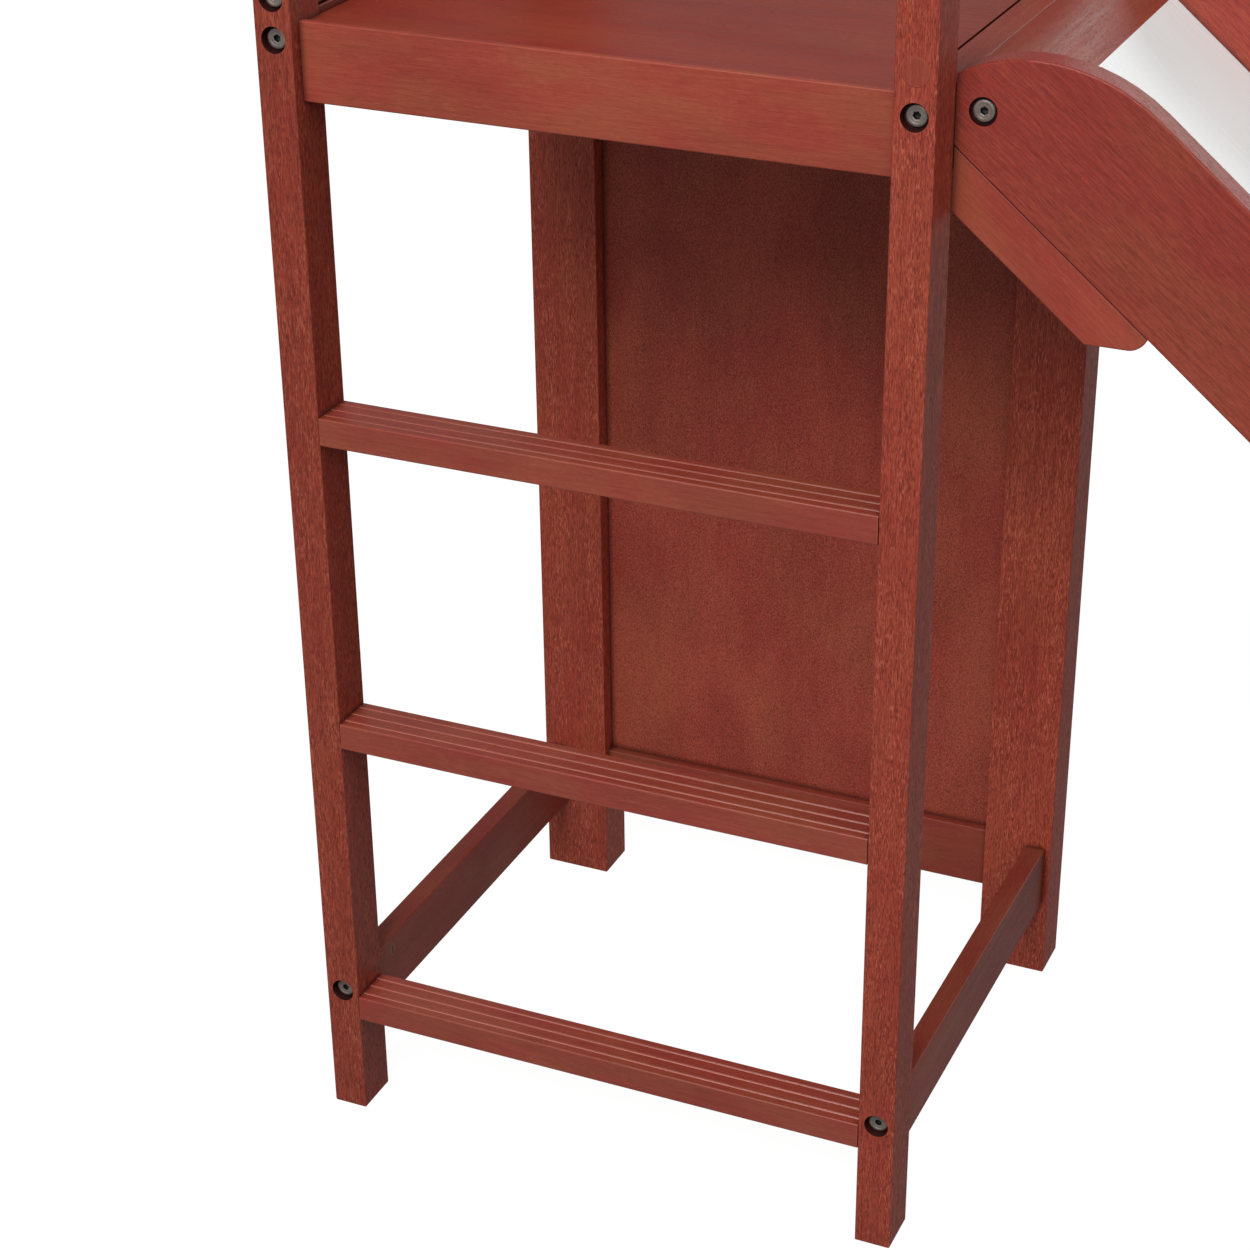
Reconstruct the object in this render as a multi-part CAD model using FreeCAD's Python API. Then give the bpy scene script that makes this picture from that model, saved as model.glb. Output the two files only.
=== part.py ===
import FreeCAD, Part
import os
import math

# Timber slide tower: ladder posts and treads at the front, wide posts with a
# panel at the back, a deck on four aprons, and a slide that leaves the deck
# along +X. Millimetres, +Z up. All pieces are laid out from the outer front
# left corner of the tower on the floor, and shifted at export so that the
# origin is the middle of the whole footprint at floor level.

V = FreeCAD.Vector

# ---------------------------------------------------------------- dimensions
TOWER_W = 590.0            # outside width, along X
TOWER_D = 546.3            # outside depth, along Y
POST_TOP = 1480.0          # height of all four posts

FP_W, FP_D = 34.5, 47.3    # front post section
BP_W, BP_D = 73.0, 50.6    # back post section
BY0 = TOWER_D - BP_D       # front face of the back posts

TREAD_T = 26.5             # tread thickness
TREAD_TOP_1 = 133.0        # top of the lowest tread
TREAD_PITCH = 306.8        # step height
TREAD_GROOVE_Y = (9.9, 23.65, 37.4)
TREAD_GROOVE_W, TREAD_GROOVE_D = 2.6, 1.4

DECK_Z = 1095.8            # top of the side and back aprons
DECK_TOP = 1091.7          # deck surface, sunk a little between the aprons
DECK_T = 12.0              # deck panel thickness
APRON_H = 69.5             # height of the side and back aprons
FAP_TOP = 1094.4           # top of the front apron
FAP_Y0 = 13.8              # front apron, set back from the post faces
FAP_T = 26.5
FAP_LIP = 5.0              # lip in front of the deck panel
SAP_T = 27.5               # side apron thickness
SAP_OUT = 0.9              # side apron set back from the post's outer face
BAP_Y0, BAP_T = 505.2, 31.3

RAIL_T = 20.4              # guard board thickness
STR_T = 21.2               # bottom stretcher thickness
RAIL_CX = FP_W / 2.0       # their centre line from the outer face
STR_Z0, STR_H = 86.1, 68.2 # bottom stretchers
GUARD_H = 69.0
GUARD_Z = (1097.4, 1241.4, 1385.4)

PANEL_Y0, PANEL_T = 516.3, 12.0
PANEL_IN = 10.0            # depth of the panel's grooves
BRAIL_Y0, BRAIL_T = 505.2, 31.3
BRAIL_Z0, BRAIL_Z1 = 88.5, 155.8

CB_R, CB_D = 11.5, 9.0     # counterbore of the bolts
SIDE_CB_D = 5.2            # the same in the slide's side panels
HEAD_R, HEAD_T = 8.8, 3.6  # bolt head
HEX_AF, HEX_DEEP = 6.0, 5.5
POST_EDGE, POST_END = 1.4, 1.4   # rounding of the posts' long edges and ends
TREAD_EDGE, RAIL_EDGE, SIDE_EDGE = 1.6, 1.4, 1.8
BOLT_R = 4.0
NUT_R = 6.0                # barrel nut
NUT_IN = 35.7              # barrel nut, from the end of its rail
DOWEL_R = 4.0
BOLT_Z_STR = 137.2
BOLT_Z_APRON = 1079.6
BOLT_GUARD_UP = 16.9       # bolt above a guard board's lower edge

SIDE_T = 26.5              # slide side panel thickness
SLIDE_Y0 = 47.3            # near face of the near side panel
SLIDE_Y1 = 495.7           # far face of the far side panel
THETA = math.radians(39.6) # slope
SIDE_W = 131.0             # side panel width, square to the slope
LINE_X, LINE_Z = 716.65, 941.4   # a point on the panel's lower edge
SLIDE_X0 = 590.1           # upper end of the slide
CREST_X, CREST_R, CREST_R2 = 650.0, 157.0, 120.0
RUN_R = 478.0              # run-out radius of the lower edge
RUN_FLAT = 160.0           # flat foot
BED_UP = 57.9              # bed surface above the lower edge, square to it
BED_T = 9.0
BED_IN = 8.0               # depth of the bed's grooves
BED_X0 = 652.7             # upper end of the bed surface
HEAD_ROLL_R = 119.0
CLEAT_W = 41.0
CLEAT_T = 23.5

S_, C_ = math.sin(THETA), math.cos(THETA)
M_ = S_ / C_


# ------------------------------------------------------------------- helpers
def box(x0, y0, z0, x1, y1, z1):
    return Part.makeBox(x1 - x0, y1 - y0, z1 - z0, V(x0, y0, z0))


def cyl(x, y, z, r, length, axis):
    return Part.makeCylinder(r, length, V(x, y, z), V(*axis))


def hexagon(x, y, z, af, length, axis):
    r = af / 2.0 / math.cos(math.radians(30))
    a = V(*axis)
    u = V(0, 0, 1) if abs(a.z) < 0.5 else V(1, 0, 0)
    w = a.cross(u)
    pts = []
    for k in range(6):
        t = math.radians(60 * k)
        pts.append(V(x, y, z) + u * (r * math.cos(t)) + w * (r * math.sin(t)))
    pts.append(pts[0])
    return Part.Face(Part.makePolygon(pts)).extrude(a * length)


def fillet_where(shape, r, test):
    """Round the straight edges whose two end points pass the test."""
    es = []
    for e in shape.Edges:
        if len(e.Vertexes) != 2:
            continue
        a, b = e.Vertexes[0].Point, e.Vertexes[1].Point
        if test(a, b):
            es.append(e)
    return shape.makeFillet(r, es) if es else shape


def along(axis, lo, hi, tol=0.01):
    """Test for edges parallel to one axis, running over its whole length."""
    i = "xyz".index(axis)

    def f(a, b):
        d = b - a
        o = [abs(d.x), abs(d.y), abs(d.z)]
        if any(o[j] > tol for j in range(3) if j != i):
            return False
        p = sorted([a[i], b[i]])
        return abs(p[0] - lo) < tol and abs(p[1] - hi) < tol
    return f


def cut(a, *tools):
    t = [x for x in tools if x is not None]
    if not t:
        return a
    r = a.cut(t)
    if r.ShapeType == "Compound" and len(r.Solids) == 1:
        r = r.Solids[0]
    return r


def group(shapes):
    return Part.makeCompound(shapes)


def line(a, b):
    return Part.LineSegment(V(a[0], 0, a[1]), V(b[0], 0, b[1])).toShape()


def arc(a, m, b):
    return Part.Arc(V(a[0], 0, a[1]), V(m[0], 0, m[1]), V(b[0], 0, b[1])).toShape()


def prism(edges, y0, y1):
    f = Part.Face(Part.Wire(edges))
    f.translate(V(0, y0, 0))
    s = f.extrude(V(0, y1 - y0, 0))
    return s


def bolt(x, y, z, axis, length):
    """Connector bolt. x, y, z is the head's outer face; axis points in."""
    a = V(*axis)
    p = V(x, y, z)
    head = Part.makeCylinder(HEAD_R, HEAD_T, p, a)
    es = [e for e in head.Edges if isinstance(e.Curve, Part.Circle)
          and (e.Curve.Center - p).Length < 0.01]
    head = head.makeFillet(0.9, es)
    q = p + a * HEAD_T
    shank = Part.makeCylinder(BOLT_R, length, q, a)
    b = head.fuse(shank)
    b = b.cut(hexagon(p.x, p.y, p.z, HEX_AF, HEX_DEEP, axis))
    return b.Solids[0].removeSplitter()


parts = {}

# --------------------------------------------------------------- bolt layout
# Side rails: (x of the centre line, z of the bolt, z of the dowel)
rails = []
for cx in (RAIL_CX, TOWER_W - RAIL_CX):
    rails.append((cx, BOLT_Z_STR, STR_Z0 + 18.0))
    rails.append((cx, BOLT_Z_APRON, DECK_Z - APRON_H + 18.0))
for gz in GUARD_Z:
    rails.append((RAIL_CX, gz + BOLT_GUARD_UP, gz + GUARD_H - 18.0))

SHANK = NUT_IN + 9.0               # shank past the end of the rail
bolts, nuts, side_dowels = [], [], []
front_cuts = {0: [], 1: []}        # 0 left, 1 right
back_cuts = {0: [], 1: []}
rail_cuts = {}
for cx, bz, dz in rails:
    side = 0 if cx < TOWER_W / 2 else 1
    # front end, driven in +Y
    yh = CB_D - HEAD_T
    bolts.append(bolt(cx, yh, bz, (0, 1, 0), FP_D - CB_D + SHANK))
    front_cuts[side] += [cyl(cx, 0, bz, CB_R, CB_D, (0, 1, 0)),
                         cyl(cx, CB_D, bz, BOLT_R, FP_D - CB_D, (0, 1, 0))]
    # back end, driven in -Y
    yb = TOWER_D - CB_D + HEAD_T
    bolts.append(bolt(cx, yb, bz, (0, -1, 0), BP_D - CB_D + SHANK))
    back_cuts[side] += [cyl(cx, TOWER_D, bz, CB_R, CB_D, (0, -1, 0)),
                        cyl(cx, TOWER_D - CB_D, bz, BOLT_R, BP_D - CB_D, (0, -1, 0))]
    rc = [cyl(cx, FP_D, bz, BOLT_R, SHANK, (0, 1, 0)),
          cyl(cx, BY0, bz, BOLT_R, SHANK, (0, -1, 0))]
    # barrel nuts, flush with the rail's inner face
    t = SAP_T if abs(bz - BOLT_Z_APRON) < 1 else STR_T if bz < 200.0 else RAIL_T
    if t == SAP_T:
        xin = SAP_OUT + SAP_T if side == 0 else TOWER_W - SAP_OUT - SAP_T
    else:
        xin = cx + t / 2 if side == 0 else cx - t / 2
    ax = (-1, 0, 0) if side == 0 else (1, 0, 0)
    for y in (FP_D + NUT_IN, BY0 - NUT_IN):
        n = cyl(xin, y, bz, NUT_R, 17.0, ax)
        rc.append(cyl(xin, y, bz, NUT_R, 17.0, ax))
        n = n.cut(cyl(cx, FP_D, bz, BOLT_R, BY0 - FP_D, (0, 1, 0)))
        # screwdriver slot
        s = 1 if side == 0 else -1
        slot = box(min(xin, xin - s * 1.5), y - 0.8, bz - 4.2, max(xin, xin - s * 1.5), y + 0.8, bz + 4.2)
        n = n.cut(slot)
        nuts += n.Solids
    for y0 in (FP_D - 20.0, BY0 - 20.0):
        d = cyl(cx, y0, dz, DOWEL_R, 40.0, (0, 1, 0))
        side_dowels.append(d)
        rc.append(d)
    front_cuts[side].append(cyl(cx, FP_D - 20.0, dz, DOWEL_R, 20.0, (0, 1, 0)))
    back_cuts[side].append(cyl(cx, BY0, dz, DOWEL_R, 20.0, (0, 1, 0)))
    rail_cuts[(side, round(bz, 1))] = rc

# flush wooden plugs: the right posts are the same pieces turned round, and
# their guard board holes are filled
plugs = []
for gz in GUARD_Z:
    z = gz + BOLT_GUARD_UP
    cx = TOWER_W - RAIL_CX
    p = cyl(cx, 0.0, z, CB_R, CB_D, (0, 1, 0))
    es = [e for e in p.Edges if isinstance(e.Curve, Part.Circle) and e.Curve.Center.y < 0.01]
    plugs.append(p.makeFillet(0.5, es))
    front_cuts[1].append(cyl(cx, 0.0, z, CB_R, CB_D, (0, 1, 0)))
    p = cyl(cx, TOWER_D - CB_D, z, CB_R, CB_D, (0, 1, 0))
    es = [e for e in p.Edges if isinstance(e.Curve, Part.Circle) and e.Curve.Center.y > TOWER_D - 0.01]
    plugs.append(p.makeFillet(0.5, es))
    back_cuts[1].append(cyl(cx, TOWER_D - CB_D, z, CB_R, CB_D, (0, 1, 0)))

# ladder dowels, along X, two in each tread end and two in each apron end
tread_tops = [TREAD_TOP_1 + k * TREAD_PITCH for k in range(3)]
ladder_dowels = []
for zt in tread_tops:
    for y in (14.0, 34.0):
        ladder_dowels += [cyl(FP_W - 18.0, y, zt - TREAD_T / 2, DOWEL_R, 38.0, (1, 0, 0)),
                          cyl(TOWER_W - FP_W - 20.0, y, zt - TREAD_T / 2, DOWEL_R, 38.0, (1, 0, 0))]
for z in (DECK_Z - 61.8, DECK_Z - 33.8):
    ladder_dowels += [cyl(FP_W - 18.0, 27.0, z, DOWEL_R, 38.0, (1, 0, 0)),
                      cyl(TOWER_W - FP_W - 20.0, 27.0, z, DOWEL_R, 38.0, (1, 0, 0))]

back_dowels = []
for z in (106.0, 138.0, DECK_Z - 53.0, DECK_Z - 26.0):
    for x0 in (BP_W - 20.0, TOWER_W - BP_W - 20.0):
        back_dowels.append(cyl(x0, BAP_Y0 + 5.3, z, DOWEL_R, 40.0, (1, 0, 0)))

# inserts in the back faces of the back posts, for the neighbouring furniture
JOIN_X = (36.5, TOWER_W - 36.5)
JOIN_Z = (330.0, 930.0)
join_inserts, join_cut = [], {0: [], 1: []}
for i, x in enumerate(JOIN_X):
    for z in JOIN_Z:
        c = cyl(x, TOWER_D - 0.5, z, 6.0, 22.0, (0, -1, 0))
        join_inserts.append(c.cut(cyl(x, TOWER_D, z, 3.4, 23.0, (0, -1, 0))))
        join_cut[i] += [cyl(x, TOWER_D, z, 6.0, 22.5, (0, -1, 0))]

# --------------------------------------------------------------------- posts
def front_post(side):
    x0 = 0.0 if side == 0 else TOWER_W - FP_W
    s = box(x0, 0, 0, x0 + FP_W, FP_D, POST_TOP)
    s = fillet_where(s, POST_EDGE, along("z", 0, POST_TOP))
    bot = [e for e in s.Edges if e.BoundBox.ZMax < 0.01]
    s = s.makeFillet(POST_END, bot)
    top = [e for e in s.Edges if e.BoundBox.ZMin > POST_TOP - 0.01]
    s = s.makeFillet(POST_END, top)
    return cut(s, *(front_cuts[side] + [d for d in ladder_dowels]))


def back_post(side):
    x0 = 0.0 if side == 0 else TOWER_W - BP_W
    s = box(x0, BY0, 0, x0 + BP_W, TOWER_D, POST_TOP)
    s = fillet_where(s, POST_EDGE, along("z", 0, POST_TOP))
    bot = [e for e in s.Edges if e.BoundBox.ZMax < 0.01]
    s = s.makeFillet(POST_END, bot)
    top = [e for e in s.Edges if e.BoundBox.ZMin > POST_TOP - 0.01]
    s = s.makeFillet(POST_END, top)
    gx0 = BP_W - PANEL_IN if side == 0 else TOWER_W - BP_W - 1.0
    groove = box(gx0, PANEL_Y0, BRAIL_Z1 - PANEL_IN, gx0 + PANEL_IN + 1.0, PANEL_Y0 + PANEL_T,
                 DECK_Z - APRON_H + PANEL_IN)
    return cut(s, groove, *(back_cuts[side] + join_cut[side] + back_dowels))


parts["front_left_post"] = front_post(0)
parts["front_right_post"] = front_post(1)
parts["back_left_post"] = back_post(0)
parts["back_right_post"] = back_post(1)

# -------------------------------------------------------------------- treads
TX0, TX1 = FP_W, TOWER_W - FP_W
for name, zt in zip(("ladder_tread_lower", "ladder_tread_middle", "ladder_tread_upper"), tread_tops):
    s = box(TX0 + 0.2, 0.3, zt - TREAD_T, TX1 - 0.5, FP_D - 0.3, zt)
    s = fillet_where(s, TREAD_EDGE, along("x", TX0 + 0.2, TX1 - 0.5))
    tools = []
    for y in TREAD_GROOVE_Y:
        # V groove, its walls carried on above the surface
        w, e = TREAD_GROOVE_W / 2, 0.5
        k = (TREAD_GROOVE_D + e) / TREAD_GROOVE_D
        tri = Part.makePolygon([V(TX0, y, zt - TREAD_GROOVE_D), V(TX0, y + w * k, zt + e),
                                V(TX0, y - w * k, zt + e), V(TX0, y, zt - TREAD_GROOVE_D)])
        tools.append(Part.Face(tri).extrude(V(TX1 - TX0, 0, 0)))
    parts[name] = cut(s, *(tools + ladder_dowels))

# -------------------------------------------------------------------- aprons
AZ0 = DECK_Z - APRON_H
s = box(TX0, FAP_Y0, AZ0, TX1, FAP_Y0 + FAP_T, FAP_TOP)
s = fillet_where(s, 1.5, along("x", TX0, TX1))
s = cut(s, box(TX0 - 1, FAP_Y0 + FAP_LIP, DECK_TOP - DECK_T, TX1 + 1, FAP_Y0 + FAP_T + 1, DECK_Z + 1))
parts["front_deck_apron"] = cut(s, *ladder_dowels)

slide_bolt_y = (150.0, 271.5, 393.0)
SLIDE_BOLT_Z = DECK_Z - 49.8
for side in (0, 1):
    x0 = SAP_OUT if side == 0 else TOWER_W - SAP_OUT - SAP_T
    s = box(x0, FP_D, AZ0, x0 + SAP_T, BY0, DECK_Z)
    s = fillet_where(s, 1.5, along("y", FP_D, BY0))
    tools = list(rail_cuts[(side, round(BOLT_Z_APRON, 1))])
    if side == 1:
        for y in slide_bolt_y:
            tools += [cyl(x0, y, SLIDE_BOLT_Z, CB_R, 6.0, (1, 0, 0)),
                      cyl(x0 + 6.0, y, SLIDE_BOLT_Z, BOLT_R, SAP_T - 6.0, (1, 0, 0))]
    parts["left_deck_apron" if side == 0 else "right_deck_apron"] = (s, tools)

# back apron between the back posts, with the rabbet of the deck panel and the
# groove of the back panel
s = box(BP_W, BAP_Y0, AZ0, TOWER_W - BP_W, BAP_Y0 + BAP_T, DECK_Z)
s = fillet_where(s, 1.5, along("x", BP_W, TOWER_W - BP_W))
s = cut(s, box(BP_W - 1, BAP_Y0 - 1, DECK_TOP - DECK_T, TOWER_W - BP_W + 1, BAP_Y0 + 14.0, DECK_Z + 1),
        box(BP_W - 1, PANEL_Y0, AZ0 - 1, TOWER_W - BP_W + 1, PANEL_Y0 + PANEL_T, AZ0 + PANEL_IN))
parts["back_deck_apron"] = cut(s, *back_dowels)

# ---------------------------------------------------------------- deck panel
# as wide as the space between the front posts, so that a shadow gap is left
# along each side apron
DX0 = FP_W + 0.2
DX1 = TOWER_W - DX0
s = box(DX0, FAP_Y0 + FAP_LIP + 0.6, DECK_TOP - DECK_T, DX1, BAP_Y0 + 13.8, DECK_TOP)
s = fillet_where(s, 0.8, along("x", DX0, DX1))
n = []
for xa, xb in ((DX0 - 1, BP_W + 0.2), (TOWER_W - BP_W - 0.2, DX1 + 1)):
    n.append(box(xa, BY0 - 0.2, DECK_Z - 20, xb, TOWER_D, DECK_Z + 5))
parts["deck_panel"] = cut(s, *n)

# cleats under the panel's sides, screwed to the side aprons
CL = 20.0
cz1 = DECK_TOP - DECK_T
cleat_screws = []
for side, name in ((0, "left_deck_cleat"), (1, "right_deck_cleat")):
    xa = SAP_OUT + SAP_T if side == 0 else TOWER_W - SAP_OUT - SAP_T - CL
    s = box(xa, FP_D + 55.0, cz1 - CL, xa + CL, BY0 - 55.0, cz1)
    s = fillet_where(s, 1.2, along("y", FP_D + 55.0, BY0 - 55.0))
    tools = []
    for y in (FP_D + 85.0, (FP_D + BY0) / 2, BY0 - 85.0):
        # countersunk screw driven outwards through the cleat
        if side == 0:
            p, a = V(xa + CL, y, cz1 - CL / 2), V(-1, 0, 0)
        else:
            p, a = V(xa, y, cz1 - CL / 2), V(1, 0, 0)
        head = Part.makeCone(4.0, 2.0, 2.4, p, a)
        shank = Part.makeCylinder(2.0, 36.0 - 2.4, p + a * 2.4, a)
        sc = head.fuse(shank).Solids[0]
        tools.append(sc.copy())
        recess = hexagon(p.x, p.y, p.z, 2.5, 1.4, (a.x, a.y, a.z))
        cleat_screws.append(sc.cut(recess).Solids[0])
    parts[name] = cut(s, *tools)
    key = "left_deck_apron" if side == 0 else "right_deck_apron"
    b, t = parts[key]
    parts[key] = cut(b, *(t + tools))

# ---------------------------------------------------------------- back panel
parts["back_panel"] = box(BP_W - PANEL_IN, PANEL_Y0, BRAIL_Z1 - PANEL_IN,
                          TOWER_W - BP_W + PANEL_IN, PANEL_Y0 + PANEL_T, AZ0 + PANEL_IN)
s = box(BP_W, BRAIL_Y0, BRAIL_Z0, TOWER_W - BP_W, BRAIL_Y0 + BRAIL_T, BRAIL_Z1)
s = fillet_where(s, 1.5, along("x", BP_W, TOWER_W - BP_W))
parts["back_panel_bottom_rail"] = cut(
    s, box(BP_W - 1, PANEL_Y0, BRAIL_Z1 - PANEL_IN, TOWER_W - BP_W + 1, PANEL_Y0 + PANEL_T, BRAIL_Z1 + 1),
    *back_dowels)

# ------------------------------------------------- stretchers, guard boards
def side_rail(side, z0, h, bz, t=RAIL_T):
    cx = RAIL_CX if side == 0 else TOWER_W - RAIL_CX
    s = box(cx - t / 2, FP_D, z0, cx + t / 2, BY0, z0 + h)
    s = fillet_where(s, RAIL_EDGE, along("y", FP_D, BY0))
    return cut(s, *rail_cuts[(side, round(bz, 1))])


parts["left_bottom_stretcher"] = side_rail(0, STR_Z0, STR_H, BOLT_Z_STR, STR_T)
parts["right_bottom_stretcher"] = side_rail(1, STR_Z0, STR_H, BOLT_Z_STR, STR_T)
for name, gz in zip(("guard_board_lower", "guard_board_middle", "guard_board_upper"), GUARD_Z):
    parts[name] = side_rail(0, gz, GUARD_H, gz + BOLT_GUARD_UP)

# --------------------------------------------------------------------- slide
# The lower edge of a side panel is a straight slope, an arc that turns level,
# and a flat foot on the floor. Every other line of the slide is that one,
# moved up square to itself by d.
ARC_CX = LINE_X + (LINE_Z - (RUN_R - RUN_R * C_)) / M_ + RUN_R * S_
SLIDE_X1 = ARC_CX + RUN_FLAT


def zline(x, d=0.0):
    return LINE_Z - M_ * (x - LINE_X) + d / C_


def arc_pts(d):
    r = RUN_R - d
    h = THETA / 2
    return ((ARC_CX - r * S_, RUN_R - r * C_),
            (ARC_CX - r * math.sin(h), RUN_R - r * math.cos(h)),
            (ARC_CX, RUN_R - r))


def side_panel_edges():
    b = arc_pts(0.0)
    t = arc_pts(SIDE_W)
    ccz = zline(CREST_X, SIDE_W) - CREST_R / C_          # crest arc centre
    tan_pt = (CREST_X + CREST_R * S_, ccz + CREST_R * C_)
    h = THETA / 2
    mid = (CREST_X + CREST_R * math.sin(h), ccz + CREST_R * math.cos(h))
    crest = (CREST_X, ccz + CREST_R)
    dx = CREST_X - SLIDE_X0
    c2 = crest[1] - CREST_R2
    left = (SLIDE_X0, c2 + math.sqrt(CREST_R2 ** 2 - dx ** 2))
    lm = (CREST_X - dx / 2, c2 + math.sqrt(CREST_R2 ** 2 - (dx / 2) ** 2))
    rt, rb = 62.0, 14.0                                  # end corners
    q = math.sqrt(0.5)
    return [
        line((SLIDE_X0, zline(SLIDE_X0)), b[0]),
        arc(*b),
        line(b[2], (SLIDE_X1 - rb, 0.0)),
        arc((SLIDE_X1 - rb, 0.0), (SLIDE_X1 - rb + rb * q, rb - rb * q), (SLIDE_X1, rb)),
        line((SLIDE_X1, rb), (SLIDE_X1, SIDE_W - rt)),
        arc((SLIDE_X1, SIDE_W - rt), (SLIDE_X1 - rt + rt * q, SIDE_W - rt + rt * q), (SLIDE_X1 - rt, SIDE_W)),
        line((SLIDE_X1 - rt, SIDE_W), t[2]),
        arc(t[2], t[1], t[0]),
        line(t[0], tan_pt),
        arc(tan_pt, mid, crest),
        arc(crest, lm, left),
        line(left, (SLIDE_X0, zline(SLIDE_X0))),
    ]


# bed: a bent board, its sides let into the side panels
BED_X1 = SLIDE_X1 - 22.0
p_top0 = (BED_X0, zline(BED_X0, BED_UP))
p_bot0 = (BED_X0 - BED_T * S_, p_top0[1] - BED_T * C_)
bt, bb = arc_pts(BED_UP), arc_pts(BED_UP - BED_T)
bed_edges = [
    line(p_top0, bt[0]), arc(*bt), line(bt[2], (BED_X1, BED_UP)),
    line((BED_X1, BED_UP), (BED_X1, BED_UP - BED_T)),
    line((BED_X1, BED_UP - BED_T), bb[2]), arc(bb[2], bb[1], bb[0]), line(bb[0], p_bot0),
    line(p_bot0, p_top0)]
IY0, IY1 = SLIDE_Y0 + SIDE_T, SLIDE_Y1 - SIDE_T       # inner faces
bed = prism(bed_edges, IY0 - BED_IN, IY1 + BED_IN)
parts["slide_bed"] = bed

# head block: roll-over at the deck edge, carrying the upper end of the bed
hx, hz = p_top0
ccx, ccz = hx - HEAD_ROLL_R * S_, hz - HEAD_ROLL_R * C_
top_l = (SLIDE_X0, ccz + math.sqrt(HEAD_ROLL_R ** 2 - (SLIDE_X0 - ccx) ** 2))
xm = (SLIDE_X0 + hx) / 2
top_m = (xm, ccz + math.sqrt(HEAD_ROLL_R ** 2 - (xm - ccx) ** 2))
HB_Z0 = AZ0
ledge = 30.0
l0 = (p_bot0[0] + ledge * C_, p_bot0[1] - ledge * S_)
k = (l0[1] - HB_Z0) / C_
l1 = (l0[0] - k * S_, HB_Z0)
head = prism([
    line((SLIDE_X0, HB_Z0), top_l), arc(top_l, top_m, (hx, hz)), line((hx, hz), p_bot0),
    line(p_bot0, l0), line(l0, l1), line(l1, (SLIDE_X0, HB_Z0))], IY0, IY1)

# crossbars under the bed, square to it
BAR_W, BAR_H = 42.0, 30.0
side_bolts, side_inserts, side_cuts, bar_cut = [], [], [], {}


def add_side_bolt(key, x, z):
    """A bolt through each side panel into an insert in the bar's end."""
    cbd = SIDE_CB_D
    for y, a in ((SLIDE_Y0, 1), (SLIDE_Y1, -1)):
        yh = y + a * (cbd - HEAD_T)
        n = SIDE_T - cbd + 20.0
        side_bolts.append(bolt(x, yh, z, (0, a, 0), n))
        side_cuts.append((a, cyl(x, y, z, CB_R, cbd, (0, a, 0))))
        side_cuts.append((a, cyl(x, y + a * cbd, z, BOLT_R, SIDE_T - cbd, (0, a, 0))))
        yi = y + a * SIDE_T
        ins = cyl(x, yi, z, NUT_R, 22.0, (0, a, 0)).cut(cyl(x, yi, z, BOLT_R, 22.0, (0, a, 0)))
        side_inserts.append(ins)
        bar_cut.setdefault(key, []).append(cyl(x, yi, z, NUT_R, 22.0, (0, a, 0)))


def bar_on_slope(xc):
    """A bar with its upper face on the bed's underside, centred at xc."""
    d1 = BED_UP - BED_T
    c = (xc, zline(xc, d1))
    u = (C_, -S_)
    w = (-S_, -C_)
    a = (c[0] - u[0] * BAR_W / 2, c[1] - u[1] * BAR_W / 2)
    b = (c[0] + u[0] * BAR_W / 2, c[1] + u[1] * BAR_W / 2)
    e = (b[0] + w[0] * BAR_H, b[1] + w[1] * BAR_H)
    f = (a[0] + w[0] * BAR_H, a[1] + w[1] * BAR_H)
    s = prism([line(a, b), line(b, e), line(e, f), line(f, a)], IY0, IY1)
    m = (c[0] + w[0] * BAR_H / 2, c[1] + w[1] * BAR_H / 2)
    return s, m


add_side_bolt("slide_head_block", 612.1, 1075.9)
bars = {}
for name, xc in (("slide_crossbar_upper", 960.0), ("slide_crossbar_middle", 1290.0),
                 ("slide_crossbar_lower", 1620.0)):
    s, m = bar_on_slope(xc)
    bars[name] = s
    add_side_bolt(name, m[0], m[1])
# exit bar under the level end of the bed
ex0, ex1 = BED_X1 - 60.0, BED_X1 - 6.0
bars["slide_exit_bar"] = box(ex0, IY0, BED_UP - BED_T - 36.0, ex1, IY1, BED_UP - BED_T)
add_side_bolt("slide_exit_bar", (ex0 + ex1) / 2, BED_UP - BED_T - 18.0)
for name in bars:
    parts[name] = cut(bars[name], *bar_cut[name])

# slide fixing bolts through the right deck apron into the head block
mount_bolts, mount_inserts, head_tools = [], [], []
ax0 = TOWER_W - SAP_OUT - SAP_T
for y in slide_bolt_y:
    mount_bolts.append(bolt(ax0 + 6.0 - HEAD_T, y, SLIDE_BOLT_Z, (1, 0, 0), 52.0))
    c = cyl(SLIDE_X0, y, SLIDE_BOLT_Z, NUT_R, 30.0, (1, 0, 0))
    mount_inserts.append(c.cut(cyl(SLIDE_X0, y, SLIDE_BOLT_Z, BOLT_R, 30.0, (1, 0, 0))))
    head_tools.append(c)
parts["slide_head_block"] = cut(head, *(bar_cut["slide_head_block"] + head_tools))

# hanger cleats under the upper ends of the side panels
ck = CLEAT_W / C_
cz = 900.0
xb_cut = LINE_X + (LINE_Z - ck - cz) / M_
x_end = 752.7


def hanger(y0, y1):
    return prism([
        line((SLIDE_X0, zline(SLIDE_X0)), (x_end, zline(x_end))),
        arc((x_end, zline(x_end)), (747.4, 903.9), (738.0, cz)),
        line((738.0, cz), (xb_cut, cz)),
        line((xb_cut, cz), (SLIDE_X0, zline(SLIDE_X0) - ck)),
        line((SLIDE_X0, zline(SLIDE_X0) - ck), (SLIDE_X0, zline(SLIDE_X0)))], y0, y1)


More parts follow.
